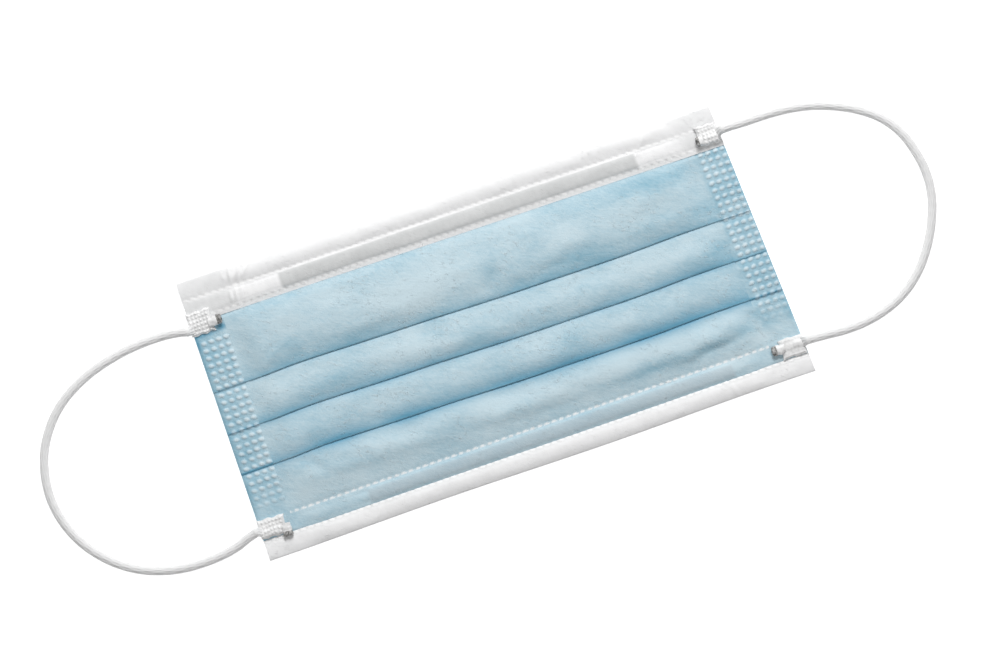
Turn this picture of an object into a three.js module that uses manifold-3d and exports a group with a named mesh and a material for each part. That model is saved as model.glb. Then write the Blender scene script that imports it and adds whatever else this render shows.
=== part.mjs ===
// A pleated surgical face mask lying flat, front side up, with its two elastic ear loops spread out.
// Millimetres, +X across the mask, +Y towards the nose edge, +Z up from the surface it lies on.
// The origin is at the middle of the mask body, on that surface.
// The bonded plies of the mask are one pleated panel. The white lining turns over its top and bottom
// edges as two hems, with a nose wire in the top channel and a strip in the lower one. Each ear loop
// ends in two flattened, welded ends on the front of the mask.
import * as THREE from "three";
import { mergeVertices } from "three/addons/utils/BufferGeometryUtils.js";
import Module from "manifold-3d";

const wasm = await Module();
wasm.setup();

// ---- driving dimensions ----
const TOP_WIDTH = 175; // across the nose edge
const BOTTOM_WIDTH = 180; // across the chin edge, where the pleats spread
const HEIGHT = 90;
const EDGE_TAPER = 0.01; // the right end is this share shorter, and the left end this share taller
const PLY = 1.0; // the bonded plies, and one wall of a hem
const GAP = 0.3; // air between two layers
const LEFT_X = -BOTTOM_WIDTH / 2;
const TOP_Y = HEIGHT / 2;
const BOTTOM_Y = -HEIGHT / 2;

// Heights of a layer's middle when one, two or three layers lie on each other.
const LOW = PLY / 2;
const MID = LOW + PLY + GAP;
const HIGH = MID + PLY + GAP;
const FOLD_RADIUS = (PLY + GAP) / 2; // of a layer's middle where it turns back on itself
const FOLD_REACH = FOLD_RADIUS + PLY / 2;
const ARC_STEPS = 4; // of each turn of the cloth
const SHARPEST_MITRE = 0.7;

// The knife pleats open downwards. Each row is one pleat: its folded lower edge and how deep it is.
const PLEATS = [
  { edge: 9.6, depth: 10 },
  { edge: -4.0, depth: 10 },
  { edge: -17.1, depth: 10 },
];

// Heights of a hem's parts, from the edge of the mask inwards.
const TOP_HEM = 13.1;
const TOP_CHANNEL_START = 6.0;
const BOTTOM_HEM = 6.2;
const BACK_LEG = 13.4; // the bottom hem's reach up the back, past the strip
const GRIP = 2.0; // how far a hem holds the panel's edge
const HEM_STEPS = 12;

const PANEL_STEPS = 18;
const PANEL_OVERLAP = 0.6; // how far the loose pleats run into each welded band

const SEAM_WIDTH = 10.5; // the welded band at each end
const SEAM_SLOPE = 2.5; // over which the pressed band rises to the loose pleats
const SEAM_HEIGHT = 2.0;
const SEAM_STEP = 0.4; // how much a folded edge stands proud in the band
const SEAM_ROWS = 10;

const STIFFENER_LENGTH = 118;
const WIRE = { width: 4.0, thickness: 0.8 };
const STRIP = { width: 3.0, thickness: 0.7 };
const WIRE_DEPTH = 9.1; // from the nose edge down to the wire's middle
const STRIP_DEPTH = 9.5; // from the chin edge up to the strip's middle
const STIFFENER_SHIFT = 2; // both lie this far right of the middle
const STIFFENER_STEPS = 8;

const LOOP_DIAMETER = 2.8;
const LOOP_SIDES = 8;
const LOOP_STEPS = 44;
const PAD_THICKNESS = 1.0;
const STUB_RADIUS = 1.2;
const STUB_LENGTH = 3.6;
const STUB_INSET = 1.0; // from the pad's inner end back to the stub's middle

// Loose rises of the cloth between its welds: the middle of each, its reach and how much higher it stands.
const PUFFS = [
  { x: 52, y: 20, reachX: 34, reachY: 9, rise: 0.24 },
  { x: 118, y: 19, reachX: 30, reachY: 8, rise: 0.2 },
  { x: 84, y: 3, reachX: 52, reachY: 7, rise: 0.16 },
  { x: 96, y: -10, reachX: 50, reachY: 7, rise: 0.14 },
  { x: 62, y: -24, reachX: 38, reachY: 6, rise: 0.26 },
  { x: 132, y: -23, reachX: 26, reachY: 6, rise: 0.3 },
];

// Where the folded edges wander up or down along the mask.
const EDGE_DRIFT = [
  { x: 0, drift: 0 },
  { x: 13, drift: 0.1 },
  { x: 28, drift: 0.6 },
  { x: 60, drift: 0.2 },
  { x: 100, drift: -0.4 },
  { x: 130, drift: -0.5 },
  { x: 155, drift: 0.1 },
  { x: 175, drift: 0 },
];

// ---- the shape of the cloth as it lies ----
function smooth(t) {
  const k = Math.min(1, Math.max(0, t));
  return k * k * (3 - 2 * k);
}

function driftAt(x) {
  const i = Math.max(1, EDGE_DRIFT.findIndex((row) => row.x >= x));
  const a = EDGE_DRIFT[i - 1];
  const b = EDGE_DRIFT[i];
  return a.drift + (b.drift - a.drift) * smooth((x - a.x) / (b.x - a.x));
}

function puffAt(x, y) {
  return PUFFS.reduce((sum, p) => {
    const along = (x - p.x) / p.reachX;
    const across = (y - p.y) / p.reachY;
    return sum + p.rise * Math.exp(-(along * along + across * across) * 1.5);
  }, 0);
}

// Carries a point of the square-cornered layout to where it lies: x runs from 0 to TOP_WIDTH.
function lay(x, y, z) {
  const loose = smooth((TOP_Y - TOP_HEM - y) / 4) * smooth((y - BOTTOM_Y - BACK_LEG) / 4);
  const inside = smooth((x - SEAM_WIDTH) / 8) * smooth((TOP_WIDTH - SEAM_WIDTH - x) / 8);
  const width = TOP_WIDTH + (BOTTOM_WIDTH - TOP_WIDTH) * ((TOP_Y - y) / HEIGHT);
  const moved = y + loose * driftAt(x);
  const across = x / TOP_WIDTH;
  return [
    LEFT_X + across * width,
    moved * (1 + EDGE_TAPER * (1 - 2 * across)),
    z * (1 + loose * inside * puffAt(x, y)),
  ];
}

// ---- solids ----
function warp(geometry) {
  const position = geometry.getAttribute("position");
  for (let i = 0; i < position.count; i++) {
    position.setXYZ(i, ...lay(position.getX(i), position.getY(i), position.getZ(i)));
  }
  return geometry;
}

// An outline in the (y, z) plane, carried along x in a number of steps.
function carried(outline, fromX, toX, steps) {
  const shape = new THREE.Shape(outline.map(([y, z]) => new THREE.Vector2(y, z)));
  const geometry = new THREE.ExtrudeGeometry(shape, { depth: toX - fromX, steps, bevelEnabled: false });
  const turn = new THREE.Matrix4().set(0, 0, 1, fromX, 1, 0, 0, 0, 0, 1, 0, 0, 0, 0, 0, 1);
  return geometry.applyMatrix4(turn);
}

// A strip of cloth of one thickness along a line in the (y, z) plane.
function ribbon(path, thickness) {
  const line = path.getPoints(ARC_STEPS).filter((p, i, all) => i === 0 || p.distanceTo(all[i - 1]) > 1e-4);
  const last = line.length - 1;
  const direction = (i) => new THREE.Vector2().subVectors(line[i + 1], line[i]).normalize();
  const sides = [1, -1].map((side) =>
    line.map((point, i) => {
      const first = direction(Math.max(0, i - 1));
      const second = direction(Math.min(last - 1, i));
      const normal = new THREE.Vector2(-first.y - second.y, first.x + second.x).normalize();
      const mitre = Math.max(SHARPEST_MITRE, normal.dot(new THREE.Vector2(-first.y, first.x)));
      const out = (side * thickness) / 2 / mitre;
      return [point.x + normal.x * out, point.y + normal.y * out];
    }),
  );
  return [...sides[0], ...sides[1].reverse()];
}

function solid(geometry) {
  const bare = geometry.clone();
  bare.deleteAttribute("normal");
  bare.deleteAttribute("uv");
  const merged = mergeVertices(bare, 1e-4);
  return new wasm.Manifold(
    new wasm.Mesh({
      numProp: 3,
      vertProperties: new Float32Array(merged.attributes.position.array),
      triVerts: new Uint32Array(merged.index.array),
    }),
  );
}

function joined(...geometries) {
  const whole = geometries.map(solid).reduce((a, b) => a.add(b));
  const mesh = whole.getMesh();
  const geometry = new THREE.BufferGeometry();
  geometry.setAttribute("position", new THREE.BufferAttribute(new Float32Array(mesh.vertProperties), 3));
  geometry.setIndex(new THREE.BufferAttribute(new Uint32Array(mesh.triVerts), 1));
  return geometry;
}

// ---- the pleated panel ----
function panelPath() {
  const path = new THREE.Path();
  path.moveTo(TOP_Y - TOP_HEM + GRIP, MID);
  path.lineTo(TOP_Y - TOP_HEM - 0.6, MID);
  path.lineTo(TOP_Y - TOP_HEM - 3.6, MID + 0.6);
  path.lineTo(PLEATS[0].edge + PLEATS[0].depth + 2, HIGH);
  PLEATS.forEach(({ edge, depth }, i) => {
    const under = edge + depth - FOLD_REACH;
    path.lineTo(edge + FOLD_REACH, HIGH);
    path.absarc(edge + FOLD_REACH, (HIGH + MID) / 2, FOLD_RADIUS, Math.PI / 2, Math.PI * 1.5, false);
    path.lineTo(under, MID);
    path.absarc(under, (MID + LOW) / 2, FOLD_RADIUS, Math.PI / 2, -Math.PI / 2, true);
    path.lineTo(edge, LOW);
    const next = PLEATS[i + 1];
    if (next) {
      const top = next.edge + next.depth + GAP;
      path.lineTo((edge + top) / 2, (LOW + HIGH) / 2);
      path.lineTo(top, HIGH);
    }
  });
  const channel = BOTTOM_Y + BACK_LEG;
  const hold = BOTTOM_Y + BOTTOM_HEM;
  path.lineTo(PLEATS[2].edge - 3, MID + 0.2);
  path.lineTo(PLEATS[2].edge - 7, MID + 0.9);
  path.lineTo(channel + 2, MID + 0.4);
  path.lineTo(channel - 0.5, MID);
  path.lineTo(channel - 1.0, MID);
  path.lineTo(channel - 2.0, HIGH - 0.3);
  path.lineTo(hold + 1.4, HIGH - 0.3);
  path.lineTo(hold + 0.5, MID);
  path.lineTo(hold - GRIP, MID);
  return path;
}

// The welded band: every layer is pressed into one, with a low step at each folded edge.
function seamOutline() {
  const above = [
    [BOTTOM_Y + BOTTOM_HEM - GRIP, MID + PLY / 2],
    [BOTTOM_Y + BACK_LEG - 1, MID + PLY / 2],
  ];
  for (const { edge } of [...PLEATS].reverse()) {
    above.push([edge - 0.3, SEAM_HEIGHT], [edge, SEAM_HEIGHT + SEAM_STEP]);
  }
  above.push([TOP_Y - TOP_HEM - 4, SEAM_HEIGHT], [TOP_Y - TOP_HEM - 0.6, MID + PLY / 2]);
  above.push([TOP_Y - TOP_HEM + GRIP, MID + PLY / 2]);
  const below = [
    [TOP_Y - TOP_HEM + GRIP, MID - PLY / 2],
    [TOP_Y - TOP_HEM - 0.4, MID - PLY / 2],
    [TOP_Y - TOP_HEM - 0.6, 0],
    [BOTTOM_Y + BACK_LEG + 0.6, 0],
    [BOTTOM_Y + BACK_LEG + 0.4, MID - PLY / 2],
    [BOTTOM_Y + BOTTOM_HEM - GRIP, MID - PLY / 2],
  ];
  return [...above, ...below];
}

// A mirrored solid has its faces turned round; swapping two corners of each turns them back.
function turnInsideOut(position) {
  for (let i = 0; i < position.count; i += 3) {
    const second = new THREE.Vector3().fromBufferAttribute(position, i + 1);
    const third = new THREE.Vector3().fromBufferAttribute(position, i + 2);
    position.setXYZ(i + 1, third.x, third.y, third.z);
    position.setXYZ(i + 2, second.x, second.y, second.z);
  }
}

// A seam from its outer end to where it meets the loose pleats, at the left or the right.
function seam(mirrored) {
  const length = SEAM_WIDTH + SEAM_SLOPE;
  const geometry = carried(seamOutline(), 0, length, SEAM_ROWS);
  const position = geometry.getAttribute("position");
  for (let i = 0; i < position.count; i++) {
    const y = position.getY(i);
    const free = y < TOP_Y - TOP_HEM - 1 && y > BOTTOM_Y + BACK_LEG && position.getZ(i) > MID;
    const rise = Math.max(0, (position.getX(i) - SEAM_WIDTH) / SEAM_SLOPE);
    if (free) position.setZ(i, position.getZ(i) + rise * (HIGH - SEAM_HEIGHT));
  }
  if (mirrored) {
    geometry.translate(-TOP_WIDTH, 0, 0).scale(-1, 1, 1);
    turnInsideOut(position);
  }
  return warp(geometry);
}

function pleatedPanel() {
  const from = SEAM_WIDTH + SEAM_SLOPE - PANEL_OVERLAP;
  const middle = carried(ribbon(panelPath(), PLY), from, TOP_WIDTH - from, PANEL_STEPS);
  return joined(warp(middle), seam(false), seam(true));
}

// ---- the hems ----
function topHem() {
  const channel = TOP_Y - TOP_CHANNEL_START;
  const turn = TOP_Y - FOLD_REACH;
  const path = new THREE.Path();
  path.moveTo(TOP_Y - TOP_HEM, LOW);
  path.lineTo(turn, LOW);
  path.absarc(turn, (LOW + MID) / 2, FOLD_RADIUS, -Math.PI / 2, Math.PI / 2, false);
  path.lineTo(channel + 0.6, MID);
  path.lineTo(channel - 0.4, HIGH);
  path.lineTo(TOP_Y - TOP_HEM, HIGH);
  const weld = carried(box2(channel + 0.9, channel + 1.7, LOW, MID), 0, TOP_WIDTH, HEM_STEPS);
  return joined(warp(carried(ribbon(path, PLY), 0, TOP_WIDTH, HEM_STEPS)), warp(weld));
}

function bottomHem() {
  const turn = BOTTOM_Y + FOLD_REACH;
  const hold = BOTTOM_Y + BOTTOM_HEM;
  const path = new THREE.Path();
  path.moveTo(BOTTOM_Y + BACK_LEG, LOW);
  path.lineTo(turn, LOW);
  path.absarc(turn, (LOW + MID) / 2, FOLD_RADIUS, -Math.PI / 2, -Math.PI * 1.5, true);
  path.lineTo(hold - GRIP - 1.5, MID);
  path.lineTo(hold - GRIP - 0.5, HIGH);
  path.lineTo(hold, HIGH);
  return warp(carried(ribbon(path, PLY), 0, TOP_WIDTH, HEM_STEPS));
}

function box2(y0, y1, z0, z1) {
  return [[y0, z0], [y1, z0], [y1, z1], [y0, z1]];
}

function stiffener(middleY, { width, thickness }) {
  const bottom = PLY + GAP;
  const from = (TOP_WIDTH - STIFFENER_LENGTH) / 2 + STIFFENER_SHIFT;
  const outline = box2(middleY - width / 2, middleY + width / 2, bottom, bottom + thickness);
  return warp(carried(outline, from, from + STIFFENER_LENGTH, STIFFENER_STEPS));
}

// ---- the ear loops ----
// Where each loop end is welded on: the outer and inner end of the pad in x, its lower and upper side
// and the cut stub in y, and the height of what lies under its lower and its upper side.
const LOOP_ENDS = [
  { name: "loop_end_top_left", x: [-90.2, -83.0], y: [28.1, 35.4], stub: 30.6, on: [2.3, 3.6] },
  { name: "loop_end_bottom_left", x: [-89.9, -81.6], y: [-38.4, -32.6], stub: -36.4, on: [2.4, 2.4] },
  { name: "loop_end_top_right", x: [85.1, 78.6], y: [32.8, 39.2], stub: 34.9, on: [3.6, 3.6] },
  { name: "loop_end_bottom_right", x: [89.3, 81.9], y: [-38.0, -31.8], stub: -34.8, on: [2.4, 2.4] },
];

// The flattened end of a loop, pressed on the cloth and over the hem's step, with its cut stub.
function loopEnd({ x: [outer, inner], y: [low, high], stub, on }) {
  const [below, belowHem] = on.map((height) => height + GAP);
  const step = TOP_Y - TOP_HEM - 0.5;
  const foot = belowHem > below ? [[step - 1.4, below], [step - 0.1, belowHem]] : [];
  const outline = [
    [low, below], ...foot, [high, belowHem],
    [high, belowHem + PAD_THICKNESS], ...foot.map(([y, z]) => [y - 0.5, z + PAD_THICKNESS]).reverse(),
    [low, below + PAD_THICKNESS],
  ];
  const pad = carried(outline, Math.min(outer, inner), Math.max(outer, inner), 1);
  const tip = new THREE.CylinderGeometry(STUB_RADIUS, STUB_RADIUS, STUB_LENGTH, 12);
  tip.rotateZ(Math.PI / 2);
  tip.translate(inner - Math.sign(inner) * STUB_INSET, stub, below + STUB_RADIUS);
  return joined(pad, tip);
}

// The middle of each elastic cord, from its upper end to its lower one.
const REST = LOOP_DIAMETER / 2 + 0.05; // height of a cord's middle where it lies on the surface
const LEFT_ROUTE = [
  [-91.0, 30.2, 2.7], [-94.5, 31.0, 2.2], [-99, 31.5, 1.6], [-105, 31.5, REST], [-111, 31.0, REST],
  [-117, 29.9, REST], [-123.5, 28.1, REST], [-130, 25.3, REST], [-136, 21.5, REST], [-141.2, 16.3, REST],
  [-145.2, 10, REST], [-147.6, 2.8, REST], [-148.4, -4.9, REST], [-147.3, -12.6, REST], [-144.5, -19.8, REST],
  [-140.3, -26, REST], [-135, -31.2, REST], [-128.8, -35.2, REST], [-122, -37.8, REST], [-115.5, -39.1, REST],
  [-109, -39.4, REST], [-103, -39, REST], [-98, -38, 1.6], [-94.5, -36.7, 2.1], [-91.0, -35.7, 2.6],
];
const RIGHT_ROUTE = [
  [86.3, 36.2, 3.4], [89.9, 36.2, 2.9], [94, 36.1, 1.9], [99, 36.1, REST], [104.5, 35.9, REST],
  [110.5, 35.2, REST], [116.5, 33.8, REST], [123, 31.3, REST], [129.2, 27.9, REST], [134.8, 23.3, REST],
  [139, 17.2, REST], [141.4, 10.1, REST], [142.4, 2.7, REST], [141.6, -4.7, REST], [139.2, -11.6, REST],
  [135.8, -18, REST], [131.6, -23.7, REST], [126.6, -28.4, REST], [121, -31.8, REST], [114.8, -34, REST],
  [108.6, -35.1, REST], [102.8, -35.3, REST], [97.5, -34.9, 1.6], [93.8, -34.6, 2.1], [90.4, -34.4, 2.6],
];

function cordSection() {
  const corners = Array.from({ length: LOOP_SIDES }, (_, i) => {
    const turn = (i / LOOP_SIDES) * Math.PI * 2;
    return new THREE.Vector2(Math.cos(turn), Math.sin(turn)).multiplyScalar(LOOP_DIAMETER / 2);
  });
  return new THREE.Shape(corners);
}

function earLoop(route) {
  const points = route.map((p) => new THREE.Vector3(...p));
  const extrudePath = new THREE.CatmullRomCurve3(points, false, "centripetal");
  return new THREE.ExtrudeGeometry(cordSection(), { steps: LOOP_STEPS, extrudePath, bevelEnabled: false });
}

// ---- materials and assembly ----
const finish = (color, roughness) => new THREE.MeshStandardMaterial({ color, roughness });
const BLUE_NONWOVEN = finish(0xb9d3df, 0.85);
const WHITE_NONWOVEN = finish(0xe9e9e8, 0.85);
const COATED_WIRE = finish(0xcfd1d0, 0.6);
const PLASTIC_STRIP = finish(0xdcdedd, 0.6);
const ELASTIC = finish(0xe2e2e0, 0.8);

const mask = new THREE.Group();

function add(name, geometry, material) {
  const mesh = new THREE.Mesh(geometry, material);
  mesh.name = name;
  mask.add(mesh);
}

add("pleated_panel", pleatedPanel(), BLUE_NONWOVEN);
add("top_hem", topHem(), WHITE_NONWOVEN);
add("bottom_hem", bottomHem(), WHITE_NONWOVEN);
add("nose_wire", stiffener(TOP_Y - WIRE_DEPTH, WIRE), COATED_WIRE);
add("chin_strip", stiffener(BOTTOM_Y + STRIP_DEPTH, STRIP), PLASTIC_STRIP);
for (const end of LOOP_ENDS) {
  add(end.name, loopEnd(end), ELASTIC);
}
add("ear_loop_left", earLoop(LEFT_ROUTE), ELASTIC);
add("ear_loop_right", earLoop(RIGHT_ROUTE), ELASTIC);

export default mask;
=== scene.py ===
"""A pleated surgical face mask lying on a pale surface with its blue front up.

The layout of the cloth is worked out flat, in millimetres: x runs along the mask from its left end,
y from the middle towards the nose edge, and z up from the surface. Pleat, hem and weld shapes are
drawn as lines across the mask and carried along it, and lay() puts each point where it lies.
"""
import math

import bpy
import numpy as np
from bpy.props import FloatProperty, FloatVectorProperty, PointerProperty
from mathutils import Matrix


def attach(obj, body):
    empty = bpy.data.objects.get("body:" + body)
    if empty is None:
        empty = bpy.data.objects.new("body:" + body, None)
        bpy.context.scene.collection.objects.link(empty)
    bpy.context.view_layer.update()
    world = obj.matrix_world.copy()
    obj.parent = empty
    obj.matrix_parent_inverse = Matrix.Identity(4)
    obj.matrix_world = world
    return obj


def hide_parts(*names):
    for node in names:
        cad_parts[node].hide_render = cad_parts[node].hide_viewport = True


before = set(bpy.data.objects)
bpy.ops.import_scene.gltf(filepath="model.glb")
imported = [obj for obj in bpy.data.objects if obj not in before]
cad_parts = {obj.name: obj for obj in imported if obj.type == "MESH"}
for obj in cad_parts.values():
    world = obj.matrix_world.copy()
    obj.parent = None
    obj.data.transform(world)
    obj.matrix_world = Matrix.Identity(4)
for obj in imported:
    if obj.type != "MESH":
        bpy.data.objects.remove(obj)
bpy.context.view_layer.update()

bl_info = {
    "name": "Surgical Face Mask",
    "version": (1, 0, 0),
    "blender": (4, 5, 0),
    "location": "3D View > Sidebar > Face Mask",
    "description": "Makes a pleated face mask with its ear loops, piece by piece",
    "category": "Object",
}

MM = 0.001
TOP_WIDTH = 175.0
BOTTOM_WIDTH = 180.0
HEIGHT = 90.0
# The left end is this share higher than the middle, and the right end as much lower.
EDGE_TAPER = 0.01
LEFT_X = -BOTTOM_WIDTH / 2
TOP_Y = HEIGHT / 2
BOTTOM_Y = -HEIGHT / 2
TOP_HEM_Y = TOP_Y - 13.1
SEAM = 10.5

# Weld lines along the mask: above and below the wire's channel, then above and below the strip's.
WELD_TOP = 39.0
WELD_HEM = 33.0
WELD_STRIP = -33.0
WELD_BOTTOM = -39.2

PLEAT_EDGES = (9.6, -4.0, -17.1)
PLEAT_DEPTH = 10.0
# How strong the painted shade is along each folded edge.
FOLD_SHADE_DEPTHS = (0.42, 0.80, 1.35)
# Middle heights of the bonded plies where three, two or one of them lie on each other.
LOOSE = {"high": 1.50, "mid": 0.95, "low": 0.42}
PRESSED = {"high": 0.78, "mid": 0.62, "low": 0.45}
HALF_PLY = 0.18
# How far the chin hem reaches up the back of the mask from its edge.
BACK_LEG = 13.4
# How far inwards from the seam the cloth goes on rising from the pressed band.
LOOSENING = 9.0

# Places along the mask, and how far the folded edges wander up or down there.
EDGE_DRIFT = ((0, 0), (13, 0.1), (28, 0.6), (60, 0.2), (100, -0.4), (130, -0.5), (155, 0.1), (175, 0))

# Soft rises of the cloth: x, y, reach along and across, and how much higher it stands.
PUFFS = (
    (52, 20, 34, 9, 0.24),
    (118, 19, 30, 8, 0.20),
    (84, 3, 52, 7, 0.16),
    (96, -10, 50, 7, 0.14),
    (62, -24, 38, 6, 0.26),
    (132, -23, 26, 6, 0.30),
)

# Creases and soft folds: x, y, direction in degrees, half length, half width, height.
CREASES = (
    (148, -24.5, 12, 15, 3.4, 0.62),
    (150, -28.3, 8, 14, 1.7, -0.36),
    (164, -22.8, 42, 7, 1.9, -0.42),
    (165, -27.0, 40, 8, 2.6, 0.40),
    (28, 24, 60, 9, 1.6, 0.22),
    (21, 14, 35, 6, 1.0, 0.16),
    (60, 16, 8, 18, 2.4, 0.18),
    (92, 15, 52, 6, 2.2, -0.30),
    (112, 13.5, 15, 18, 2.0, -0.28),
    (146, 23, 12, 16, 2.6, 0.25),
    (48, -6.5, -4, 20, 1.6, 0.16),
    (40, -22, -12, 20, 2.2, 0.25),
    (23, -22.5, -40, 8, 1.6, -0.25),
    (98, -24, 5, 24, 2.4, 0.22),
)
# The same for both hems.
HEM_CREASES = (
    (14.4, 42.6, 98, 2.2, 0.45, 0.22),
    (16.7, 42.6, 82, 2.6, 0.42, 0.50),
    (19.4, 42.6, 62, 3.0, 0.45, 0.46),
    (22.0, 42.6, 52, 3.2, 0.5, 0.34),
    (15.0, 36.2, 86, 2.4, 0.40, 0.46),
    (16.8, 36.4, 80, 2.6, 0.40, 0.55),
    (18.8, 36.9, 68, 2.2, 0.45, 0.34),
    (151, 40.5, 60, 5, 0.7, 0.16),
    (30, -41.5, 70, 4, 0.7, 0.14),
    (36, -42.2, 62, 4, 0.6, 0.18),
    (150, -42, 115, 4, 0.8, 0.14),
)

# Pale and deep places in the blue, partly its own patchiness and partly painted shade in and below the
# creases: x, y, reach along and across, and how much paler.
CLOUDS_AND_CREASE_SHADE = (
    (71, 20, 17, 9, 0.55),
    (42, 26, 24, 5, 0.25),
    (118, 22, 9, 5, 0.42),
    (132, 22, 10, 5, 0.30),
    (93, 17, 4, 5, -0.45),
    (121, 14, 15, 3.6, -0.50),
    (150, 28, 16, 3.2, -0.60),
    (52, 12.5, 18, 2.4, -0.35),
    (158, 14, 10, 4, -0.35),
    (18, 3, 6, 4, 0.30),
    (63, 3, 9, 4, 0.42),
    (42, 1, 9, 4, -0.45),
    (106, 1, 12, 2.6, -0.30),
    (141, 3, 11, 3.4, 0.38),
    (162, 2, 7, 5, -0.50),
    (110, -10, 6, 5, -0.42),
    (134, -9, 6, 4, -0.30),
    (75, -9, 14, 4, 0.15),
    (164, -10, 8, 5, -0.35),
    (20, -20.5, 8, 2.6, -0.45),
    (46, -23, 11, 4, 0.35),
    (76, -22, 10, 3.6, 0.30),
    (88, -22, 28, 4, 0.32),
    (118, -22.5, 16, 3.6, 0.55),
    (154, -20.5, 9, 2.4, 0.45),
    (148, -26.8, 12, 1.9, -0.62),
    (159, -25.3, 5, 2.0, -0.50),
    (165, -21.8, 4.5, 2.6, -0.60),
    (128, -27.2, 18, 2.0, -0.48),
    (138, -22.0, 14, 2.4, 0.30),
    (165, -29, 7, 3, 0.50),
    (152, -33, 14, 4, 0.45),
    (26, -29, 16, 3, 0.30),
)

# Both stiffeners' ends along the mask.
STIFFENER_FROM = 30.5
STIFFENER_TO = 148.5
# The strip has slid a little along its channel.
STRIP_SLIDE = 4.0

# Height of an ear loop's middle where it lies on the surface.
REST = 1.45
# Each ear loop from its upper weld to its lower one: x, y and the height of its middle.
LEFT_ROUTE = (
    (-91.0, 30.2, 2.7), (-94.5, 31.0, 2.2), (-99, 31.5, 1.6), (-105, 31.5, REST), (-111, 31.0, REST),
    (-117, 29.9, REST), (-123.5, 28.1, REST), (-130, 25.3, REST), (-136, 21.5, REST),
    (-141.2, 16.3, REST), (-145.2, 10, REST), (-147.6, 2.8, REST), (-148.4, -4.9, REST),
    (-147.3, -12.6, REST), (-144.5, -19.8, REST), (-140.3, -26, REST), (-135, -31.2, REST),
    (-128.8, -35.2, REST), (-122, -37.8, REST), (-115.5, -39.1, REST), (-109, -39.4, REST),
    (-103, -39, REST), (-98, -38, 1.6), (-94.5, -36.7, 2.1), (-91.0, -35.7, 2.6),
)
RIGHT_ROUTE = (
    (86.3, 36.2, 3.4), (89.9, 36.2, 2.9), (94, 36.1, 1.9), (99, 36.1, REST), (104.5, 35.9, REST),
    (110.5, 35.2, REST), (116.5, 33.8, REST), (123, 31.3, REST), (129.2, 27.9, REST), (134.8, 23.3, REST),
    (139, 17.2, REST), (141.4, 10.1, REST), (142.4, 2.7, REST), (141.6, -4.7, REST), (139.2, -11.6, REST),
    (135.8, -18, REST), (131.6, -23.7, REST), (126.6, -28.4, REST), (121, -31.8, REST), (114.8, -34, REST),
    (108.6, -35.1, REST), (102.8, -35.3, REST), (97.5, -34.9, 1.6), (93.8, -34.6, 2.1), (90.4, -34.4, 2.6),
)


# ---- settings a user would change ----
def length(name, description, default):
    return FloatProperty(name=name, description=description, default=default, unit="LENGTH")


def colour(name, description, default):
    return FloatVectorProperty(
        name=name, description=description, default=default, subtype="COLOR", size=3, min=0, max=1
    )


class MaskSizes(bpy.types.PropertyGroup):
    loop_diameter: length("Elastic", "Thickness of the round elastic", 0.0028)
    pleat_rise: length("Pleat rise", "How far each pleat puffs up", 0.0009)
    weld_spot: length("Weld spot", "Height of the raised spots in the side bands", 0.00036)
    weld_pitch: length("Weld pitch", "Distance between the dashes of a weld line", 0.0023)


class MaskColours(bpy.types.PropertyGroup):
    # Mixed by the tone_and_shade layer: the deep blue also stands for painted shade above the folded edges
    # and in the creases, and the pale blue for painted light below the edges.
    deep_blue: colour("Deep blue", "The outer ply where it lies thin", (0.245, 0.475, 0.60))
    pale_blue: colour("Pale blue", "The outer ply where the filter shows through", (0.62, 0.765, 0.83))
    # Painted shade along the outer ply's folded edges.
    fold_shade_blue: colour("Fold blue", "The outer ply along its folded edges", (0.10, 0.35, 0.52))
    white: colour("White ply", "The lining and its hems", (0.96, 0.96, 0.965))
    # Grey where the wire shows through the hem, and also the colour of the painted shade along the weld
    # grooves and the hems' rolled edges.
    wire_and_shade_grey: colour("Wire shade", "The hem where the wire shows through", (0.66, 0.67, 0.67))
    elastic: colour("Elastic", "The knitted elastic", (0.86, 0.86, 0.86))


def sizes():
    return bpy.context.scene.mask_sizes


def colours():
    return bpy.context.scene.mask_colours


# ---- cloth layout ----
def smooth(t):
    t = np.clip(t, 0, 1)
    return t * t * (3 - 2 * t)


def window(value, low, high, soft):
    return smooth((value - low) / soft) * smooth((high - value) / soft)


def lattice(i, j, seed):
    """A repeatable number from 0 to 1 for each cell of a lattice."""
    n = np.sin(i * 127.1 + j * 311.7 + seed * 74.7) * 43758.5453
    return n - np.floor(n)


def ripple(x, y, seed):
    """Smooth noise from -1 to 1 whose features are one unit across."""
    i, j = np.floor(x), np.floor(y)
    u, v = smooth(x - i), smooth(y - j)
    low = lattice(i, j, seed) * (1 - u) + lattice(i + 1, j, seed) * u
    high = lattice(i, j + 1, seed) * (1 - u) + lattice(i + 1, j + 1, seed) * u
    return (low * (1 - v) + high * v) * 2 - 1


def drift(x):
    """How far the folded edges wander at this place along the mask."""
    ends, values = np.array(EDGE_DRIFT, float).T
    k = np.clip(np.searchsorted(ends, x) - 1, 0, len(ends) - 2)
    t = (x - ends[k]) / (ends[k + 1] - ends[k])
    return values[k] + (values[k + 1] - values[k]) * smooth(t)


def spots(rows, x, y):
    """The sum of soft round humps, one for each row of a table."""
    total = np.zeros(np.broadcast(x, y).shape)
    for cx, cy, rx, ry, gain in rows:
        total += gain * np.exp(-1.5 * (((x - cx) / rx) ** 2 + ((y - cy) / ry) ** 2))
    return total


def creases(rows, x, y):
    """The sum of soft ridges and grooves, one for each row of a table."""
    total = np.zeros(np.broadcast(x, y).shape)
    for cx, cy, turn, reach, width, rise in rows:
        c, s = math.cos(math.radians(turn)), math.sin(math.radians(turn))
        along = (x - cx) * c + (y - cy) * s
        across = (y - cy) * c - (x - cx) * s + 0.25 * width * np.sin(along * 0.6)
        total += rise * np.exp(-((across / width) ** 2)) * smooth(1.15 - np.abs(along) / reach)
    return total


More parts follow.
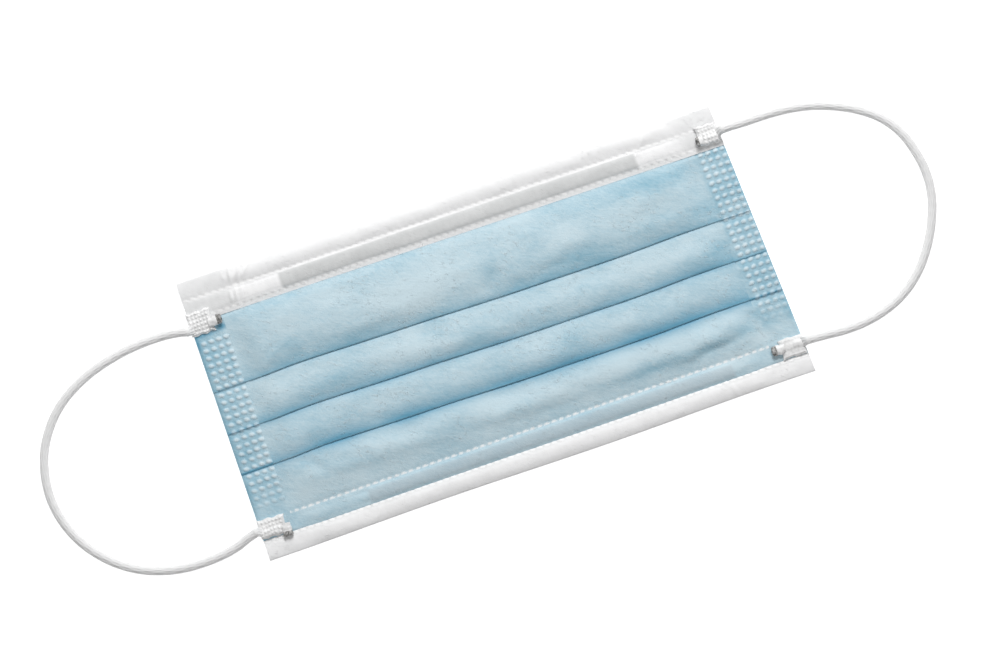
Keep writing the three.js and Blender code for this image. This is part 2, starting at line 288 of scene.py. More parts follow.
def lay(x, y, z):
    """Where a point of the flat layout lies, in metres."""
    loose = smooth((TOP_HEM_Y - y) / 4) * smooth((y - BOTTOM_Y - BACK_LEG) / 4)
    width = TOP_WIDTH + (BOTTOM_WIDTH - TOP_WIDTH) * ((TOP_Y - y) / HEIGHT)
    across = x / TOP_WIDTH
    moved = (y + loose * drift(x)) * (1 + EDGE_TAPER * (1 - 2 * across))
    wave = 0.22 * np.sin(x / 16.0 + 1.1) * smooth((np.abs(y) - 36) / 8) * np.sign(y)
    return np.stack([LEFT_X + across * width, moved + wave, z + 0 * x], axis=-1) * MM


def pressed(x):
    """1 in the welded side bands, 0 in the loose middle."""
    return 1 - smooth((x - SEAM) / LOOSENING) * smooth((TOP_WIDTH - SEAM - x) / LOOSENING)


def through(points, step):
    """A smooth line through points of any dimension, with points about a step apart."""
    p = np.array(points, float)
    p = np.vstack([2 * p[0] - p[1], p, 2 * p[-1] - p[-2]])
    made = []
    for a, b, c, d in zip(p[:-3], p[1:-2], p[2:-1], p[3:]):
        count = max(1, int(round(np.linalg.norm((c - b)[:2]) / step)))
        for k in range(count):
            t = k / count
            bend, twist = 2 * a - 5 * b + 4 * c - d, 3 * b - a - 3 * c + d
            made.append(0.5 * (2 * b + (c - a) * t + bend * t * t + twist * t**3))
    made.append(p[-2])
    return np.array(made)


# ---- meshes ----
def column_stations(low, high, step):
    return np.linspace(low, high, max(2, int(round((high - low) / step)) + 1))


def grid_faces(columns, rows, offset=0, flip=False):
    i, j = np.meshgrid(np.arange(columns - 1), np.arange(rows - 1), indexing="ij")
    a = i * rows + j + offset
    quads = np.stack([a, a + rows, a + rows + 1, a + 1], axis=-1).reshape(-1, 4)
    return quads[:, ::-1] if flip else quads


def rim_faces(columns, rows):
    """Quads that join the borders of two grids, the second stored right after the first."""
    c, r = np.arange(columns - 1), np.arange(rows - 1)
    size = columns * rows
    ring = [
        (r, r + 1, True),
        (r + (columns - 1) * rows, r + 1 + (columns - 1) * rows, False),
        (c * rows, (c + 1) * rows, False),
        (c * rows + rows - 1, (c + 1) * rows + rows - 1, True),
    ]
    made = []
    for a, b, turned in ring:
        quad = np.stack([a, b, b + size, a + size], axis=-1)
        made.append(quad if turned else quad[:, ::-1])
    return np.vstack(made)


def ring_faces(rings, sides):
    """Quads of a tube whose points are stored ring by ring."""
    i, j = np.meshgrid(np.arange(rings - 1), np.arange(sides), indexing="ij")
    k = (j + 1) % sides
    corners = [i * sides + j, i * sides + k, (i + 1) * sides + k, (i + 1) * sides + j]
    return np.stack(corners, axis=-1).reshape(-1, 4)


def build(name, verts, quads, materials, slots=None, layers=None, uv=None, sharp=50):
    """A smooth-shaded mesh piece that rides on the mask, from vertices in metres."""
    mesh = bpy.data.meshes.new(name)
    mesh.vertices.add(len(verts))
    mesh.vertices.foreach_set("co", np.asarray(verts, np.float32).ravel())
    mesh.loops.add(len(quads) * 4)
    mesh.loops.foreach_set("vertex_index", np.asarray(quads, np.int32).ravel())
    mesh.polygons.add(len(quads))
    mesh.polygons.foreach_set("loop_start", np.arange(0, len(quads) * 4, 4, dtype=np.int32))
    if slots is not None:
        mesh.polygons.foreach_set("material_index", np.asarray(slots, np.int32))
    for material in materials:
        mesh.materials.append(material)
    for layer, values in (layers or {}).items():
        attribute = mesh.attributes.new(layer, "FLOAT", "POINT")
        attribute.data.foreach_set("value", np.asarray(values, np.float32).ravel())
    if uv is not None:
        lay_uv = mesh.uv_layers.new(name="Lay")
        lay_uv.data.foreach_set("uv", np.asarray(uv, np.float32)[np.asarray(quads).ravel()].ravel())
    mesh.update(calc_edges=True)
    mesh.validate()
    mesh.shade_smooth()
    mesh.set_sharp_from_angle(angle=math.radians(sharp))
    piece = bpy.data.objects.new(name, mesh)
    bpy.context.scene.collection.objects.link(piece)
    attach(piece, "root")
    return piece


# ---- shader maths ----
class Value:
    """The output of a shader node; arithmetic on it adds Math nodes."""

    def __init__(self, nodes, socket):
        self.nodes = nodes
        self.socket = socket

    def maths(self, operation, other=0.0, turned=False):
        first, second = (other, self) if turned else (self, other)
        return self.nodes.node("ShaderNodeMath", {"operation": operation}, {0: first, 1: second})

    def __add__(self, other):
        return self.maths("ADD", other)

    def __sub__(self, other):
        return self.maths("SUBTRACT", other)

    def __mul__(self, other):
        return self.maths("MULTIPLY", other)

    def __radd__(self, other):
        return self.maths("ADD", other, True)

    def __rsub__(self, other):
        return self.maths("SUBTRACT", other, True)

    def __rmul__(self, other):
        return self.maths("MULTIPLY", other, True)

    def sin(self):
        return self.maths("SINE")

    def abs(self):
        return self.maths("ABSOLUTE")

    def at_least(self, other):
        return self.maths("MAXIMUM", other)

    def at_most(self, other):
        return self.maths("MINIMUM", other)

    def between(self, low, high):
        """0 below low, 1 above high, and smooth between them."""
        return self.nodes.node(
            "ShaderNodeMapRange",
            {"interpolation_type": "SMOOTHSTEP"},
            {"Value": self, "From Min": low, "From Max": high},
        )


class Finish:
    """A new material and the few kinds of node that every finish here is made from."""

    def __init__(self, name, **fixed):
        self.material = bpy.data.materials.new(name)
        self.material.use_nodes = True
        self.tree = self.material.node_tree
        self.shader = self.tree.nodes["Principled BSDF"]
        for socket, value in fixed.items():
            self.shader.inputs[socket.replace("_", " ")].default_value = value

    def node(self, kind, settings=None, sockets=None, out=0):
        node = self.tree.nodes.new(kind)
        for name, value in (settings or {}).items():
            setattr(node, name, value)
        for key, value in (sockets or {}).items():
            self.feed(node.inputs[key], value)
        return Value(self, node.outputs[out])

    def feed(self, socket, value):
        if isinstance(value, Value):
            self.tree.links.new(value.socket, socket)
        elif socket.type == "RGBA" and len(value) == 3:
            socket.default_value = (*value, 1)
        else:
            socket.default_value = value

    def place(self):
        return self.node("ShaderNodeTexCoord", out="Object")

    def axes(self, vector):
        node = self.node("ShaderNodeSeparateXYZ", {}, {0: vector}).socket.node
        return [Value(self, node.outputs[k]) for k in range(3)]

    def stretched(self, vector, factors, turn=0.0):
        """The same place with its axes turned about Z and scaled."""
        return self.node(
            "ShaderNodeMapping", {"vector_type": "TEXTURE"},
            {
                "Vector": vector,
                "Rotation": (0, 0, math.radians(turn)),
                "Scale": tuple(1 / f for f in factors),
            },
        )

    def noise(self, vector, scale, detail=3.0, roughness=0.55):
        return self.node(
            "ShaderNodeTexNoise", {},
            {"Vector": vector, "Scale": scale, "Detail": detail, "Roughness": roughness},
        )

    def mix(self, factor, first, second):
        return self.node("ShaderNodeMix", {"data_type": "RGBA"}, {0: factor, 6: first, 7: second}, out=2)

    def layer(self, name):
        return self.node("ShaderNodeAttribute", {"attribute_name": name}, out="Fac")

    def bump(self, height, distance, strength=1.0):
        return self.node(
            "ShaderNodeBump", {}, {"Strength": strength, "Distance": distance, "Height": height}
        )

    def wear(self, colour, roughness, normal):
        for socket, value in (("Base Color", colour), ("Roughness", roughness), ("Normal", normal)):
            self.feed(self.shader.inputs[socket], value)
        return self.material


BOND_PITCH = 0.00118


def spunbond(f, place):
    """The bond points, the fibres and the loose white tufts of spunbond cloth, each from 0 to 1."""
    x, y, _ = f.axes(place)
    bend = f.noise(place, 240, 3) * 5.0
    other = f.noise(place, 310, 3) * 4.0
    u = (x * 0.92 + y * 1.1) * (math.pi / BOND_PITCH) + bend
    v = (x * 0.92 - y * 1.1) * (math.pi / BOND_PITCH) - other
    patchy = f.noise(place, 60, 4, 0.6).between(0.42, 0.62)
    points = (u.sin() * v.sin()).abs().between(0.40, 0.95) * patchy
    fibres = f.noise(f.stretched(place, (1, 3.5, 1), -24), 560, 5, 0.75) * 0.5
    fibres = fibres + f.noise(f.stretched(place, (3, 1, 1), 33), 500, 5, 0.75) * 0.5
    tufts = f.noise(f.stretched(place, (1, 1.9, 1), -30), 600, 5, 0.8).between(0.55, 0.68)
    tufts = tufts * f.noise(place, 120, 3).between(0.40, 0.60)
    return points, fibres, tufts


def blue_ply():
    """Blue, paler or deeper by the tone_and_shade layer, which holds painted shade and light by the folded
    edges and creases; painted shade along the folds, greyer over the strip and nearly white on the welds.
    """
    f = Finish(
        "blue_spunbond", Roughness=0.72, Specular_IOR_Level=0.28, Sheen_Weight=0.12, Sheen_Roughness=0.45
    )
    c = colours()
    place = f.place()
    points, fibres, tufts = spunbond(f, place)
    haze = f.noise(f.stretched(place, (1, 2.1, 1), 14), 62, 5, 0.6)
    streaks = f.noise(f.stretched(place, (1, 4, 1), -22), 150, 5, 0.65)
    # The tone_and_shade layer holds the cloth's own patchiness together with painted shade and light by the
    # folded edges and creases.
    tone_and_shade = f.layer("tone_and_shade") * 0.62 + haze * 0.6 + streaks * 0.5 - 0.17
    tone_and_shade = tone_and_shade + (fibres - 0.5) * 1.3 + points * 0.08 + tufts * 0.5
    colour = f.mix(tone_and_shade.between(-0.15, 1.15), tuple(c.deep_blue), tuple(c.pale_blue))
    # Painted shade along the folded edges, from the fold layer.
    colour = f.mix(f.layer("fold").at_least(0).at_most(1) * 0.85, colour, tuple(c.fold_shade_blue))
    weld = f.layer("weld")
    colour = f.mix(f.layer("wire").at_least(0).at_most(1) * 0.45, colour, (0.47, 0.53, 0.57))
    colour = f.mix(weld.at_least(0).at_most(1), colour, (0.95, 0.97, 0.98))
    relief = fibres * 1.0 + points * 0.05 + streaks * 0.7 + tufts * 0.7
    return f.wear(colour, 0.62 + fibres * 0.25, f.bump(relief, 0.00025, 0.6))


def white_ply():
    """White, greyer where the wire shows through, with painted shade along the weld grooves and the rolled
    edges.
    """
    f = Finish(
        "white_spunbond", Roughness=0.75, Specular_IOR_Level=0.3, Sheen_Weight=0.1, Sheen_Roughness=0.5
    )
    c = colours()
    place = f.place()
    points, fibres, tufts = spunbond(f, place)
    haze = f.noise(f.stretched(place, (1, 2.5, 1), 20), 90, 5, 0.6)
    shade = f.layer("wire") * (0.7 + haze * 0.5)
    colour = f.mix(shade.at_least(0).at_most(1), tuple(c.white), tuple(c.wire_and_shade_grey))
    mottle = ((haze - 0.45) * 0.5 + (0.5 - fibres) * 0.5).at_least(0).at_most(0.3)
    colour = f.mix(mottle, colour, (0.66, 0.67, 0.68))
    weld = f.layer("weld")
    colour = f.mix(weld.at_least(0).at_most(1), colour, (0.98, 0.98, 0.98))
    relief = fibres * 0.8 + points * 0.05 + haze * 0.6 + tufts * 0.5
    return f.wear(colour, 0.62 + fibres * 0.25, f.bump(relief, 0.00024, 0.6))


def welded_elastic():
    f = Finish("welded_elastic", Roughness=0.42, Specular_IOR_Level=0.5)
    place = f.place()
    grain = f.noise(place, 900, 3)
    colour = f.mix(grain.between(0.35, 0.7), (0.80, 0.80, 0.80), (0.93, 0.93, 0.93))
    return f.wear(colour, 0.35 + grain * 0.3, f.bump(grain, 0.0001, 0.4))


def knitted_elastic():
    """Fine courses of yarn round the elastic, slanted a little, from its own length and turn."""
    f = Finish(
        "knitted_elastic", Roughness=0.8, Specular_IOR_Level=0.25, Sheen_Weight=0.25, Sheen_Roughness=0.4
    )
    run = f.node("ShaderNodeUVMap", {"uv_map": "Lay"}, out="UV")
    along, turn, _ = f.axes(run)
    courses, yarns = 950.0, math.pi * 10
    left = ((along * courses + turn * yarns).sin() + 1.0) * 0.5
    right = ((along * courses - turn * yarns).sin() + 1.0) * 0.5
    fuzz = f.noise(f.place(), 1400, 3)
    knit = left * 0.5 + right * 0.5
    # Painted shade between the yarns of each course, lighter on their crowns.
    lit = (knit * 0.8 + fuzz * 0.3).between(0.1, 0.8)
    colour = f.mix(lit, (0.80, 0.80, 0.80), tuple(colours().elastic))
    return f.wear(colour, 0.7 + fuzz * 0.2, f.bump(knit + fuzz * 0.5, 0.00016, 0.7))


def cut_end_with_painted_shadow():
    f = Finish("cut_elastic_end_painted_shadow", Roughness=0.6, Specular_IOR_Level=0.4)
    grain = f.noise(f.place(), 900, 5, 0.65)
    # Grey where it was cut, with near-black patches of painted shadow inside the open end.
    colour = f.mix(grain.between(0.38, 0.66), (0.12, 0.12, 0.115), (0.63, 0.62, 0.61))
    return f.wear(colour, 0.4 + grain * 0.4, f.bump(grain, 0.0003, 0.9))


def coated(name, light, dark):
    f = Finish(name, Roughness=0.5, Specular_IOR_Level=0.45)
    grain = f.noise(f.stretched(f.place(), (1, 30, 1)), 60, 4)
    return f.wear(f.mix(grain, light, dark), 0.4 + grain * 0.2, f.bump(grain, 0.0001, 0.4))


FINISHES = {
    "blue": blue_ply,
    "white": white_ply,
    "pad": welded_elastic,
    "knit": knitted_elastic,
    "cut": cut_end_with_painted_shadow,
}
made_finishes = {}


def finish(kind):
    if kind not in made_finishes:
        made_finishes[kind] = FINISHES[kind]()
    return made_finishes[kind]


# ---- the folded plies ----
def visible_line():
    """The loose profile of each part of the front that shows, from under the top hem downwards."""
    rise = sizes().pleat_rise / MM
    high, low = LOOSE["high"], LOOSE["low"]
    first, second, third = PLEAT_EDGES
    top = [
        (34.6, 0.45), (33.0, 0.50), (32.0, 0.60), (31.2, 0.78), (28.5, high + 0.2),
        (24.0, high + rise * 0.85), (19.5, high + rise), (15.4, high + rise * 0.9),
        (12.8, high + rise * 0.52), (first + 1.3, high + 0.16), (first + 0.3, high),
    ]
    parts = [top]
    for edge, after in ((first, second), (second, third)):
        parts.append([
            (edge + 0.8, low + 0.08), (edge, low + 0.28), (edge - 0.6, low + 0.66), (edge - 1.6, low + 0.96),
            (after + PLEAT_DEPTH + 0.1, high + rise * 0.2),
            (after + 7.4, high + rise * 0.62), (after + 5.0, high + rise * 0.74),
            (after + 2.9, high + rise * 0.5), (after + 1.3, high + 0.14), (after + 0.3, high),
        ])
    parts.append([
        (third + 0.8, low + 0.08), (third, low + 0.28), (third - 0.6, low + 0.66), (third - 1.7, low + 0.96),
        (third - 4.6, high + rise * 0.45),
        (-25.5, high + rise * 0.6), (-29.0, high), (-31.4, 1.12), (WELD_STRIP, 0.85), (-33.9, 1.12),
        (-34.8, 1.42), (-36.2, 1.54), (-37.5, 1.36), (-38.4, 0.95), (WELD_BOTTOM - 0.2, 0.5), (-40.6, 0.45),
    ])
    return parts


def under_hems(y):
    """How much lower the pressed cloth lies where a hem covers it."""
    return 0.36 * smooth((y - 30.6) / 1.0) + 0.3 * smooth((-38.0 - y) / 0.9)


# Height across the mask over which the pressed cloth rises again below a folded edge.
FOLD_FALL = 3.2


def panel_path(step):
    """Each point of the folded plies' middle: y, loose z, pressed z, and 1 where it shows."""
    rows = []
    fold = (LOOSE["high"] - LOOSE["mid"]) / 2
    under_fold = (LOOSE["mid"] - LOOSE["low"]) / 2

    def pressed_height(y):
        height = PRESSED["high"] - under_hems(y)
        for edge in PLEAT_EDGES:
            rise = (PRESSED["high"] - PRESSED["low"]) * smooth((edge - y) / FOLD_FALL)
            height = np.where((y <= edge) & (y > edge - FOLD_FALL), PRESSED["low"] + rise, height)
        return height

    def add_turn(centre, radius, upper, lower, sense):
        for k in range(1, 8):
            a = math.pi * k / 8
            share = (1 - math.cos(a)) / 2
            z = (LOOSE[upper] + LOOSE[lower]) / 2 + radius * math.cos(a)
            flat = PRESSED[upper] + (PRESSED[lower] - PRESSED[upper]) * share
            rows.append((centre + sense * radius * math.sin(a), z, flat, 0.0))

    for part, edge in zip(visible_line(), (*PLEAT_EDGES, None)):
        line = through(part, step)
        for y, z in line:
            rows.append((y, z, float(pressed_height(np.array(y))), 1.0))
        if edge is None:
            continue
        back = edge + PLEAT_DEPTH - under_fold
        add_turn(edge + fold, fold, "high", "mid", -1)
        for y in np.linspace(edge + fold, back, 5):
            rows.append((y, LOOSE["mid"], PRESSED["mid"], 0.0))
        add_turn(back, under_fold, "mid", "low", 1)
        for y in np.linspace(back, edge + 1.8, 5):
            rows.append((y, LOOSE["low"], PRESSED["low"], 0.0))
    return np.array(rows)


def normals_of(y, z):
    """Unit normals of a line in the (y, z) plane, on the side that faces up where y falls."""
    dy, dz = np.gradient(y, axis=-1), np.gradient(z, axis=-1)
    size = np.hypot(dy, dz) + 1e-9
    return dz / size, -dy / size


def cloth_relief(x, y):
    """How the loose cloth stands away from its plain profile."""
    big = 0.20 * ripple(x / 17, y / 6.5, 3) + 0.10 * ripple(x / 7.5 + 3, y / 3.6, 5)
    small = 0.045 * ripple(x / 3.2, y / 2.1, 8)
    return big + small + creases(CREASES, x, y)


def panel_grid(x, path, side):
    """The folded plies' points on their upper (1) or lower (-1) side, with the layout's x and y."""
    y, loose, flat, shows = (column[None, :] for column in path.T)
    x = x[:, None]
    press = pressed(x)
    puff = spots(PUFFS, x, y) * (1 - press)
    z = (loose * (1 + 0.8 * puff)) * (1 - press) + flat * press
    relief = cloth_relief(x, y) * (1 - press) * shows
    held = window(y, -31.0, 30.0, 3.5)
    near_edge = np.ones_like(y)
    for edge in PLEAT_EDGES:
        near_edge = near_edge * (0.3 + 0.7 * smooth(np.abs(y - edge) / 2.4))
    z = z + relief * held * near_edge
    channel = window(y, -38.6, -33.6, 0.9) * shows
    lift = window(x - STRIP_SLIDE, STIFFENER_FROM, STIFFENER_TO, 1.2)
    z = z - channel * (1 - lift) * (0.3 + 0.15 * ripple(x / 5, y / 2, 2)) * (1 - press)
    y = y + 0 * x
    ny, nz = normals_of(y, z)
    x = x + 0 * y
    return lay(x, y + side * HALF_PLY * ny, np.maximum(z + side * HALF_PLY * nz, 0.02)), x, y


def dash_mask(x, y, line):
    """1 on the raised, slanted dashes of a weld line."""
    pitch = sizes().weld_pitch / MM
    across = (x / pitch - np.floor(x / pitch) - 0.5) * pitch
    up = y - line
    along, over = across * 0.98 - up * 0.2, across * 0.2 + up * 0.98
    return smooth((1.25 - np.sqrt((along / 0.80) ** 2 + (over / 0.40) ** 2)) * 2)


def pucker(x, y, line):
    """The groove along a weld line, drawn in at each dash."""
    pitch = sizes().weld_pitch / MM
    groove = np.exp(-(((y - line) / 0.75) ** 2))
    return -0.10 * groove + 0.05 * np.cos(2 * math.pi * x / pitch) * np.exp(-np.abs(y - line) / 1.3)


def tone_and_shade_of(x, y):
    """How pale the blue is over the loose cloth, with painted shade above each folded edge, painted shade
    just below it and painted light a little further below.
    """
    # Patchiness of the blue, with painted shade by the creases.
    tone_and_shade = 0.5 + spots(CLOUDS_AND_CREASE_SHADE, x, y) + 0.22 * ripple(x / 9, y / 5, 11)
    for edge in PLEAT_EDGES:
        above = np.clip(y - edge, 0, None)
        deep = 0.80 + 0.30 * ripple(x / 13, y * 0 + edge, 12)
        # Painted shade above the folded edge.
        tone_and_shade = tone_and_shade - np.where(y >= edge, deep * np.exp(-above / 2.3), 0)
        below = np.clip(edge - y, 0, None)
        # Painted shade just below the folded edge, then painted light.
        tone_and_shade = tone_and_shade + np.where(y < edge, 0.20 * np.exp(-below / 2.2) - 0.55 * np.exp(-below / 0.8), 0)
    return np.clip(tone_and_shade, -0.4, 1.4)


def fold_shade(x, y, shows):
    """Painted shade along each folded edge: deeper blue above and below the edge, and on the hidden turns of
    the fold.
    """
    shade = 0 * x
    for edge, depth in zip(PLEAT_EDGES, FOLD_SHADE_DEPTHS):
        soft = depth * (0.85 + 0.35 * ripple(x / 11, x * 0 + edge, 14))
        above = np.clip(y - edge, 0, None)
        below = np.clip(edge - y, 0, None)
        shade = np.maximum(shade, soft * np.exp(-above / (0.7 + depth) - below / (0.45 + 0.8 * depth)))
        inside = (y > edge - 1) & (y < edge + PLEAT_DEPTH + 1)
        shade = np.where(inside & (shows < 0.5), 0.45 * soft, shade)
    return np.clip(shade, 0, 1)


def make_outer_ply():
    path = panel_path(0.42)
    stations = column_stations(SEAM, TOP_WIDTH - SEAM, 0.62)
    verts, x, y = panel_grid(stations, path, 1)
    shows = path[:, 3][None, :]
    weld = dash_mask(x, y, WELD_STRIP) * shows
    over_strip = window(y, -38.4, -33.8, 0.8)
    over_strip = over_strip * window(x - STRIP_SLIDE, STIFFENER_FROM, STIFFENER_TO, 1.0)
    verts[..., 2] += (weld * 0.14 + pucker(x, y, WELD_STRIP) * shows) * MM
    quads = grid_faces(len(stations), len(path), flip=True)
    piece = build(
        "outer_ply", verts.reshape(-1, 3), quads, [finish("blue")],
        layers={
            "tone_and_shade": tone_and_shade_of(x, y), "weld": weld, "wire": over_strip,
            # Painted shade along the folded edges.
            "fold": fold_shade(x, y, shows),
        },
    )
    return piece, path


def make_lining():
    path = panel_path(0.8)
    stations = column_stations(SEAM, TOP_WIDTH - SEAM, 1.3)
    verts, x, y = panel_grid(stations, path, -1)
    quads = grid_faces(len(stations), len(path))
    zero = np.zeros(x.shape)
    layers = {"wire": zero, "weld": zero}
    piece = build("lining", verts.reshape(-1, 3), quads, [finish("white")], layers=layers)
    return piece


# ---- the welded side bands ----
# Each column of raised spots, by its distance from the mask's side edge.
LEFT_COLUMNS = (2.2, 4.75, 7.2, 9.5)
RIGHT_COLUMNS = (1.0, 3.3, 5.7, 8.1)
ROW_PITCH = 2.4
# Painted shadow, in deeper blue, under the upper left pad and its stub: distance from the edge, y, reach
# along and across, and depth.
LEFT_SHADOWS = ((3.0, 27.4, 5.0, 0.9, 0.8), (0.3, 25.0, 1.0, 3.0, 1.0), (9.2, 28.3, 2.0, 1.2, 1.1))


def weld_spots(x, y, columns, top, bottom, fade):
    """Height from 0 to 1 of the raised spots, in rows that fade out towards the lower end."""
    row = np.round((top - y) / ROW_PITCH)
    centre = top - row * ROW_PITCH
    inside = (row >= 0) & (centre >= bottom)
    made = np.zeros(x.shape)
    for k, column in enumerate(columns):
        wander = 0.12 * (lattice(row, k * 1.0 + 0 * row, 4) - 0.5)
        across = (x - column - wander) / (1.0 + 0.12 * lattice(row, k + 7.0 + 0 * row, 5))
        up = (y - centre + 0.16 * across + 0.1 * wander) / 0.80
        made = np.maximum(made, np.clip(1 - across**2 - up**2, 0, 1) ** 0.8)
    return made * inside * (1 - fade * smooth((bottom + 8 - y) / 8))


def make_side_band(name, mirrored):
    """A pressed, welded end of the mask, with its raised spots; mirrored for the right end."""
    stations = column_stations(0, SEAM, 0.21)
    rows = column_stations(-41.0, 33.8, 0.21)
    depth, y = np.meshgrid(stations, rows, indexing="ij")
    top = np.full(y.shape, PRESSED["high"] + HALF_PLY)
    for edge in PLEAT_EDGES:
        step = smooth((edge - y) / 0.35) * (1 - smooth((edge - y) / FOLD_FALL))
        top = top - step * (PRESSED["high"] - PRESSED["low"] + 0.1)
    top += 0.05 * ripple(depth / 2.5, y / 2.5, 6) + 0.03 * ripple(depth / 0.8, y / 0.8, 7)
    if mirrored:
        raised = weld_spots(depth, y, RIGHT_COLUMNS, 31.0, -25.0, 0.75)
    else:
        raised = weld_spots(depth, y, LEFT_COLUMNS, 24.8, -28.4, 0.55)
    top += raised * sizes().weld_spot / MM
    near = smooth(depth / 0.8)
    top = top * (0.55 + 0.45 * near)
    top -= under_hems(y)
    x = TOP_WIDTH - depth if mirrored else depth
    floor = np.full(y.shape, 0.06) - 0.04 * raised
    verts = np.concatenate([lay(x, y, top).reshape(-1, 3), lay(x, y, floor).reshape(-1, 3)])
    size = (len(stations), len(rows))
    front = grid_faces(*size, flip=mirrored)
    back = grid_faces(*size, offset=depth.size, flip=not mirrored)
    rim = rim_faces(*size)
    rim = rim[:, ::-1] if mirrored else rim
    slots = np.concatenate([np.zeros(len(front)), np.ones(len(back)), np.zeros(len(rim))])
    lower = 0.75 * smooth((-24 - y) / 5) if mirrored else 0.32 * smooth((-22 - y) / 8)
    # Paler on the raised spots and darker just inside the side edge; near the loose cloth it takes that
    # cloth's painted shade and light by the folded edges.
    tone_and_shade = 0.02 + 0.7 * raised + 0.2 * ripple(depth / 4, y / 6, 9) + lower
    tone_and_shade -= 0.25 * np.exp(-((depth - 0.7) ** 2))
    inner = smooth((depth - 8.9) / 1.6)
    tone_and_shade = tone_and_shade * (1 - inner) + (tone_and_shade_of(x, y) + 0.35 * raised) * inner
    # Deeper blue right along the side edge, and painted shade along each folded edge.
    fold = 0.22 * np.exp(-((depth / 0.5) ** 2)) + 0 * y
    for edge, deep in zip(PLEAT_EDGES, FOLD_SHADE_DEPTHS):
        fold = np.maximum(fold, 0.8 * deep * np.exp(-(((y - edge) / 0.5) ** 2)))
    # Painted shadow under the upper left pad and its stub.
    if not mirrored:
        fold = np.maximum(fold, spots(LEFT_SHADOWS, depth, y))
    tone_and_shade, fold = np.tile(tone_and_shade.ravel(), 2), np.tile(fold.ravel(), 2)
    weld = np.tile((0.3 * raised**1.5).ravel(), 2)
    zero = np.zeros(tone_and_shade.shape)
    piece = build(
        name, verts, np.vstack([front, back, rim]), [finish("blue"), finish("white")], slots,
        layers={"tone_and_shade": tone_and_shade, "weld": weld, "wire": zero, "fold": fold},
    )
    return piece


# ---- the hems ----
# Each hem's profile from its edge on the front, round the mask's edge and along the back: y and height.
TOP_HEM_LINE = (
    (31.75, 0.86), (32.3, 0.96), (33.0, 1.02), (33.7, 1.36), (34.6, 1.62), (36.0, 1.74), (37.4, 1.62),
    (38.3, 1.3), (39.0, 1.0), (39.9, 1.22), (41.4, 1.52), (42.8, 1.46), (44.1, 1.05), (44.85, 0.58),
    (44.7, 0.22), (43.6, 0.16), (41, 0.16), (36, 0.16), (30.8, 0.2),
)
BOTTOM_HEM_LINE = (
    (-38.65, 0.90), (-39.2, 1.02), (-39.9, 1.32), (-41.2, 1.56), (-42.8, 1.48), (-44.1, 1.05),
    (-44.85, 0.58), (-44.7, 0.22), (-43.6, 0.16), (-41, 0.16), (-36, 0.16), (-31, 0.2),
)
# The wire's channel, from its lower to its upper side.
WIRE_CHANNEL = (33.3, 38.7)


